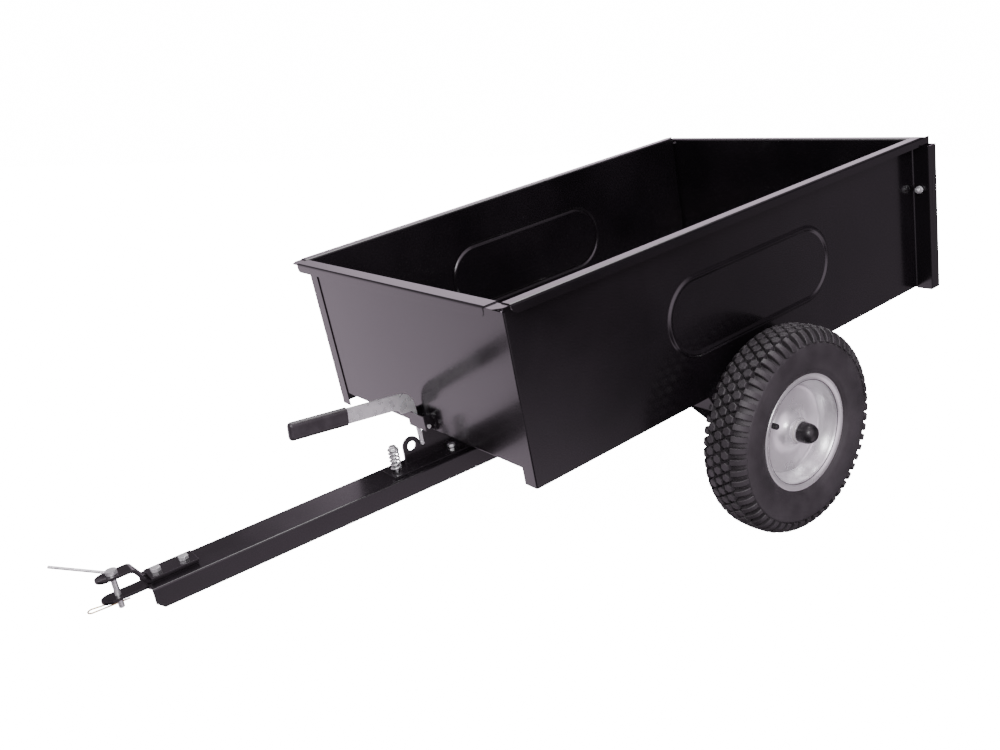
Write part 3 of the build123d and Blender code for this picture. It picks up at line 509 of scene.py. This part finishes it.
for part in tread_parts + [lug, far_lug]:
    part.select_set(True)
bpy.context.view_layer.objects.active = tread_parts[0]
bpy.ops.object.join()
tread = bpy.context.object
bpy.ops.object.mode_set(mode="EDIT")
bpy.ops.mesh.select_all(action="SELECT")
bpy.ops.mesh.spin(
    steps=pitches - 1, angle=2 * math.pi - pitch, dupli=True, center=wheel_point, axis=(1, 0, 0)
)
bpy.ops.object.mode_set(mode="OBJECT")
clear()
bpy.context.view_layer.objects.active = tread
tread.select_set(True)
bpy.ops.object.shade_smooth_by_angle(angle=math.radians(30))
carcass.select_set(True)
bpy.context.view_layer.objects.active = carcass
bpy.ops.object.join()
tyre = bpy.context.object
far_tyre = mirrored(tyre, "tyre_right_finished")
tyre.name = "tyre_left_finished"
fit(tyre, "left_wheel", "tyre_rubber", rubber, "tyre_left")
fit(far_tyre, "right_wheel", "tyre_rubber", rubber, "tyre_right")

# ---------------------------------------------------------------- rims and hubs
# Each rim is a rolled steel barrel with a pressed disc welded in its middle, painted
# silver, on a steel hub tube. Pale plastic bushes run on the axle at both ends of the hub.
silver = finish(
    "silver_rim_paint", ((0.72, 0.72, 0.73), (0.82, 0.82, 0.83)), (0.24, 0.34), 14, 2600, 0.00002,
    Metallic=0.62, Coat_Weight=0.5, Coat_Roughness=0.12,
)
barrel_line = [
    (37.4, 114.0), (38.5, 113.2), (38.8, 111.4), (38.2, 108.0), (36.6, 104.6), (34.0, 101.8), (31.0, 100.2),
    (27.0, 98.6), (23.0, 96.0), (13.0, 90.4), (4.0, 87.2), (-9.0, 86.8), (-12.0, 88.0), (-13.8, 91.5),
    (-15.5, 96.4), (-18.5, 98.8), (-28.0, 99.6), (-33.0, 100.8), (-36.0, 103.6), (-38.0, 107.0),
    (-38.8, 111.0), (-38.2, 113.4), (-37.2, 114.0),
]
disc_line = [
    (4.4, 86.0), (3.0, 84.6), (1.8, 82.0), (1.2, 77.0), (1.0, 66.0), (1.0, 54.0), (1.3, 48.0), (2.6, 41.5),
    (5.4, 35.8), (9.4, 31.0), (14.0, 27.6), (18.6, 25.6), (22.0, 25.1),
]
barrel = draw_line("rim_left", radial(barrel_line))
turn()
barrel_sheet, disc_sheet = 0.0022, 0.0024
thicken(barrel, barrel_sheet, middle=True)
disc = draw_line("disc", radial(disc_line))
turn()
thicken(disc, disc_sheet, middle=True)
clear()
disc.select_set(True)
barrel.select_set(True)
bpy.context.view_layer.objects.active = barrel
bpy.ops.object.join()
rim = bpy.context.object
rim.name = "rim_left_finished"
smooth(rim, 0.0005, 2, 50)
far_rim = mirrored(rim, "rim_right_finished")
fit(rim, "left_wheel", "silver_rim", silver, "rim_left")
fit(far_rim, "right_wheel", "silver_rim", silver, "rim_right")

bush_nylon = finish(
    "pale_bush_nylon", ((0.55, 0.54, 0.52), (0.66, 0.65, 0.63)), (0.38, 0.5), 60, 1200, 0.00004,
)
cap_black = finish(
    "cap_black_plastic", ((0.010, 0.010, 0.011), (0.016, 0.015, 0.016)), (0.26, 0.38), 80, 1500, 0.00003,
)
stem_rubber = finish(
    "valve_rubber_black", ((0.018, 0.017, 0.018), (0.030, 0.028, 0.030)), (0.45, 0.6), 90, 1600, 0.00005,
)
for side_name in ("left", "right"):
    wheel = side_name + "_wheel"
    carry_plain("wheel_hub_" + side_name, 0.0005, "silver_rim", silver, wheel)
    for node in ("inner_bush_", "outer_bush_"):
        carry_plain(node + side_name, 0.0006, "bush_plastic", bush_nylon, wheel)
    for node in ("wheel_washer_", "wheel_spacer_", "cotter_pin_"):
        carry_plain(node + side_name, 0.0003, "zinc_fasteners", bright_zinc, "chassis")
    carry_plain("hub_cap_" + side_name, 0.0004, "cap_plastic", cap_black, "chassis")

# ---------------------------------------------------------------- tyre valves
# A black rubber snap-in valve stands out of each rim's disc. Its waist sits in the hole
# and its tip carries a screwed cap.
stem_low, stem_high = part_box("valve_stem_left")
stem_middle = (stem_low + stem_high) / 2
stem_radius = (stem_high.z - stem_low.z) / 2
stem_reach = stem_high.x - stem_low.x
stem_line = [
    (0.0, 0.0), (0.0, 1.5), (0.08, 1.55), (0.16, 1.1), (0.30, 1.02), (0.62, 0.86), (0.64, 0.74),
    (0.67, 0.74), (0.69, 0.92), (0.95, 0.88), (1.0, 0.7), (1.0, 0.0),
]
stem = draw_line("valve_stem_left_finished", [
    (stem_low.x + share * stem_reach, stem_middle.y, stem_middle.z + out * stem_radius)
    for share, out in stem_line
])
bpy.ops.mesh.select_all(action="SELECT")
bpy.ops.mesh.spin(steps=24, angle=2 * math.pi, center=stem_middle, axis=(1, 0, 0))
bpy.ops.mesh.select_all(action="SELECT")
bpy.ops.mesh.remove_doubles(threshold=0.00001)
bpy.ops.mesh.normals_make_consistent(inside=False)
smooth(stem, 0.0003, 2, 50)
far_stem = mirrored(stem, "valve_stem_right_finished")
fit(stem, "left_wheel", "valve_rubber", stem_rubber, "valve_stem_left")
fit(far_stem, "right_wheel", "valve_rubber", stem_rubber, "valve_stem_right")

# ---------------------------------------------------------------- hitch
# Two flat steel straps are bolted to the draw bar's nose, one above and one below. The
# upper one steps up, so that a tractor's plate fits between them, and a pin locks it.
for node in ("lower_hitch_strap", "hitch_clamp_plate"):
    carry_plain(node, 0.0006, "gloss_black_frame", frame_black, "chassis")
upper_strap = carry("upper_hitch_strap", "upper_hitch_strap_finished", tongue_place)
strap_tip_y = level_box(tongue_place, "upper_hitch_strap")[0].y
pick("EDGE", lambda e: abs(e.verts[0].co.x - e.verts[1].co.x) > 0.02
     and strap_tip_y + 0.045 < e.verts[0].co.y < strap_tip_y + 0.09)
bpy.ops.mesh.bevel(offset=0.005, segments=5, affect="EDGES")
bpy.ops.object.mode_set(mode="OBJECT")
upper_strap.data.transform(tongue_place)
smooth(upper_strap, 0.0006)
fit(upper_strap, "chassis", "gloss_black_frame", frame_black, "upper_hitch_strap")
for node in ("hitch_bolts", "hitch_nuts"):
    carry_plain(node, 0.0010, "zinc_fasteners", bright_zinc, "chassis", steps=3)

yellow_zinc = finish(
    "yellow_zinc_wire", ((0.62, 0.45, 0.22), (0.76, 0.60, 0.34)), (0.24, 0.36), 90, 1500, 0.000006,
    Metallic=0.7,
)
carry_plain("hitch_pin", 0.0006, "zinc_fasteners", bright_zinc, "pin")
carry_plain("pin_handle", 0.0, "zinc_fasteners", bright_zinc, "pin")
carry_plain("hairpin_clip", 0.0, "yellow_zinc", yellow_zinc, "clip")

# ---------------------------------------------------------------- latch saddle
# A black pressed plate with an upright ear rocks on the draw bar. A coil spring on a
# long bolt holds its front end down, and a second bolt keeps its rear end in place.
carry_plain("latch_saddle", 0.0007, "gloss_black_frame", frame_black, "saddle")
for node in ("saddle_bolt", "spring_bolt", "tongue_nuts"):
    carry_plain(node, 0.0008, "zinc_fasteners", bright_zinc, "chassis", steps=3)
carry_plain("spring_washer", 0.0004, "zinc_fasteners", bright_zinc, "chassis")
spring = carry_plain("latch_spring", 0.0, "zinc_fasteners", bright_zinc, "chassis", angle=60)
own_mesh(spring)

# ---------------------------------------------------------------- side panels
# Each side is one gloss black sheet. Its top edge folds out and down into a flange,
# its front edge wraps the corner, and a plain long oval bead is pressed in the middle.
sheet_black = finish(
    "sheet_black_powder_coat", ((0.0045, 0.0038, 0.0047), (0.0080, 0.0067, 0.0082)),
    (0.16, 0.26), 5, 260, 0.000018, Coat_Weight=0.3, Coat_Roughness=0.10,
)
sheet = 0.002
side_low, side_high = level_box(bed_place, "side_panel_left")
front_low, front_high = level_box(bed_place, "front_panel")
guide_reach = 0.035
lip_overrun = 0.022
tray_rear = side_high.y - lip_overrun
wall_x = side_high.x - guide_reach
flange_x = wall_x + 0.023
lip_low = side_high.z - 0.016
wrap_y = side_low.y + 0.026
skirt_z = side_low.z + 0.004
sheet_bend, lip_corner, front_lip_corner, front_return = 0.0028, 0.0145, 0.009, 0.033
bead_y, bead_z = 0.028, 0.262
bead_straight, bead_round = 0.152, 0.080
side_panel = draw_line("side_panel_left_finished", [
    (wall_x, wrap_y, lip_low), (wall_x, wrap_y, side_high.z),
    (flange_x, wrap_y, side_high.z), (flange_x, wrap_y, lip_low),
])
extrude_all((0, tray_rear - wrap_y, 0))
pick("EDGE", lambda e: all(abs(v.co.x - flange_x) < 1e-5 and v.co.y > tray_rear - 1e-5 for v in e.verts))
extrude((0, lip_overrun, 0))
pick("EDGE", lambda e: all(abs(v.co.x - wall_x) < 1e-5 and abs(v.co.z - lip_low) < 1e-5 for v in e.verts))
extrude((0, 0, skirt_z - lip_low))
pick("FACE", lambda f: f.calc_center_median().z < lip_low)
bpy.ops.mesh.delete(type="ONLY_FACE")
bpy.ops.mesh.select_mode(type="VERT")
bpy.ops.mesh.select_all(action="DESELECT")
bpy.ops.mesh.primitive_circle_add(
    vertices=96, radius=bead_round, location=(wall_x, bead_y, bead_z), rotation=(0, math.pi / 2, 0)
)
for sense in (1, -1):
    pick("VERT", lambda p: abs(p.x - wall_x) < 1e-5 and (p.y - bead_y) * sense > 1e-4
         and abs((p.yz - Vector((bead_y, bead_z))).length - bead_round) < 1e-4)
    bpy.ops.transform.translate(value=(0, sense * bead_straight, 0))


def on_bead(point):
    """Whether a point lies on the outline of the long oval bead."""
    from_middle = max(0.0, abs(point.y - bead_y) - bead_straight)
    reach = math.hypot(from_middle, point.z - bead_z)
    return abs(point.x - wall_x) < 1e-5 and abs(reach - bead_round) < 2e-4


def on_skin_edge(edge):
    """Whether an edge bounds the flat wall of the side panel."""
    ends = [v.co for v in edge.verts]
    flat = all(abs(p.x - wall_x) < 1e-5 and p.z < lip_low + 1e-5 for p in ends)
    return flat and (all(on_bead(p) for p in ends) or not any(on_bead(p) for p in ends))


pick("EDGE", on_skin_edge)
bpy.ops.mesh.fill(use_beauty=True)
pick("EDGE", lambda e: all(on_bead(v.co) for v in e.verts))
bpy.ops.mesh.edge_face_add()
pick("FACE", lambda f: len(f.verts) > 80)
face_out((wall_x, bead_y, bead_z), (1, 0, 0))
pick("FACE", lambda f: len(f.verts) > 80)
bead_steps = (
    (0.0010, 0.0), (0.0018, 0.0008), (0.0018, 0.0015), (0.0018, 0.0008), (0.0018, 0.0),
    (0.0018, -0.0008), (0.0018, -0.0015), (0.0018, -0.0008), (0.0010, 0.0),
)
for inwards, raise_by in bead_steps:
    bpy.ops.mesh.inset(thickness=inwards, depth=0)
    bpy.ops.transform.translate(value=(raise_by, 0, 0))
for end_y, return_x in ((wrap_y, -front_return), (tray_rear, guide_reach)):
    pick("EDGE", lambda e: all(abs(v.co.x - wall_x) < 1e-5 and abs(v.co.y - end_y) < 1e-5
                               and v.co.z < lip_low + 1e-5 for v in e.verts))
    extrude((return_x, 0, 0))
round_bends(sheet_bend)
round_corners(
    lambda p: abs(p.x - flange_x) < 1e-4 and abs(p.y - wrap_y) < 1e-4 and p.z < lip_low + 1e-4, lip_corner
)
thicken(side_panel, sheet)
corner_tab = draw_line("corner_tab", [
    (wall_x - 0.0115, wrap_y - 0.0008, side_high.z), (wall_x - 0.0115, side_low.y, side_high.z),
    (flange_x - 0.012, side_low.y, side_high.z), (flange_x, side_low.y + 0.012, side_high.z),
    (flange_x, wrap_y - 0.0008, side_high.z),
])
bpy.ops.mesh.select_all(action="SELECT")
bpy.ops.mesh.edge_face_add()
face_out((wall_x, wrap_y, side_high.z), (0, 0, 1))
thicken(corner_tab, sheet)
clear()
corner_tab.select_set(True)
side_panel.select_set(True)
bpy.context.view_layer.objects.active = side_panel
bpy.ops.object.join()
side_panel.data.transform(bed_place)
far_side_panel = mirrored(side_panel, "side_panel_right_finished")
for piece, node in ((side_panel, "side_panel_left"), (far_side_panel, "side_panel_right")):
    smooth(piece, 0.0003)
    fit(piece, "bed", "gloss_black_sheet", sheet_black, node)

# ---------------------------------------------------------------- front panel and floor
# The front is a second gloss black sheet with the same folded flange. It sits between
# the sides' wrapped edges and folds under the floor sheet, which closes the tray.
tab_x = wall_x - 0.0125
front_half = wall_x - sheet - 0.0003
front_face = wrap_y + sheet + 0.0001
front_panel = draw_line("front_panel_finished", [
    (-tab_x, front_face + 0.022, front_low.z + sheet), (-tab_x, front_face, front_low.z + sheet),
    (-tab_x, front_face, lip_low), (-tab_x, front_face, front_high.z), (-tab_x, front_low.y, front_high.z),
    (-tab_x, front_low.y, lip_low),
])
extrude_all((2 * tab_x, 0, 0))
for sense in (1, -1):
    pick("EDGE", lambda e: all(abs(v.co.x - sense * tab_x) < 1e-5 and abs(v.co.y - front_face) < 1e-5
                               and v.co.z < lip_low + 1e-5 for v in e.verts))
    extrude((sense * (front_half - tab_x), 0, 0))
round_bends(sheet_bend)
round_corners(lambda p: p.y < front_low.y + 1e-4 and p.z < lip_low + 1e-4, front_lip_corner)
face_out((0, front_face, 0.3), (0, -1, 0))
thicken(front_panel, sheet)
front_panel.data.transform(bed_place)
smooth(front_panel, 0.0003)
fit(front_panel, "bed", "gloss_black_sheet", sheet_black, "front_panel")
carry_plain("floor_panel", 0.0003, "gloss_black_sheet", sheet_black, "bed")

# ---------------------------------------------------------------- rear guides and tailgate
# A black channel on each rear corner takes the tailgate, which is a plain sheet folded
# back all round and lifts straight out. Carriage bolts hold the channels.
for side_name in ("left", "right"):
    carry_plain("gate_guide_" + side_name, 0.0008, "gloss_black_sheet", sheet_black, "bed")
carry_plain("guide_bolts", 0.0010, "zinc_fasteners", bright_zinc, "bed", steps=3)
carry_plain("guide_nuts", 0.0008, "zinc_fasteners", bright_zinc, "bed", steps=3)
gate_low, gate_high = level_box(bed_place, "tailgate")
gate_face = gate_low.y + sheet
gate = draw_line("tailgate_finished", [
    (gate_low.x, gate_face, gate_low.z), (gate_low.x, gate_face, gate_high.z),
])
extrude_all((gate_high.x - gate_low.x, 0, 0))
bpy.ops.mesh.select_mode(type="EDGE")
bpy.ops.mesh.select_all(action="DESELECT")
bpy.ops.mesh.select_non_manifold()
extrude((0, gate_high.y - gate_face, 0))
round_bends(0.0025)
face_out((0, gate_face, gate_high.z - 0.02), (0, 1, 0))
thicken(gate, sheet)
gate.data.transform(bed_place)
smooth(gate, 0.0003)
fit(gate, "gate", "gloss_black_sheet", sheet_black, "tailgate")

# ---------------------------------------------------------------- axle brackets
# A folded black channel under each side of the floor carries the bed on the axle, with
# four carriage bolts down through the floor into hex nuts.
for side_name in ("left", "right"):
    carry_plain("axle_bracket_" + side_name, 0.0012, "gloss_black_frame", frame_black, "bed", steps=3)
carry_plain("bracket_bolts", 0.0005, "zinc_fasteners", bright_zinc, "bed")
carry_plain("bracket_nuts", 0.0008, "zinc_fasteners", bright_zinc, "bed", steps=3)

# ---------------------------------------------------------------- latch lever
# A black strap riveted to the front sheet carries a zinc plated hand lever on a cross
# pin. The lever's finger drops behind the saddle's ear, and its end wears a vinyl grip.
carry_plain("latch_keeper", 0.0008, "gloss_black_frame", frame_black, "bed", steps=3)
carry_plain("keeper_rivets", 0.0006, "gloss_black_sheet", sheet_black, "bed", steps=3)
for node in ("lever_pivot_pin", "pivot_sleeves"):
    carry_plain(node, 0.0005, "zinc_fasteners", bright_zinc, "bed")
for node in ("latch_lever", "finger_rivet"):
    carry_plain(node, 0.0006, "zinc_fasteners", bright_zinc, "lever")
grip_vinyl = finish(
    "grip_black_vinyl", ((0.024, 0.021, 0.024), (0.036, 0.032, 0.036)), (0.30, 0.44), 50, 900, 0.00008,
)
carry_plain("lever_grip", 0.0020, "grip_vinyl", grip_vinyl, "lever", steps=4)

clear()
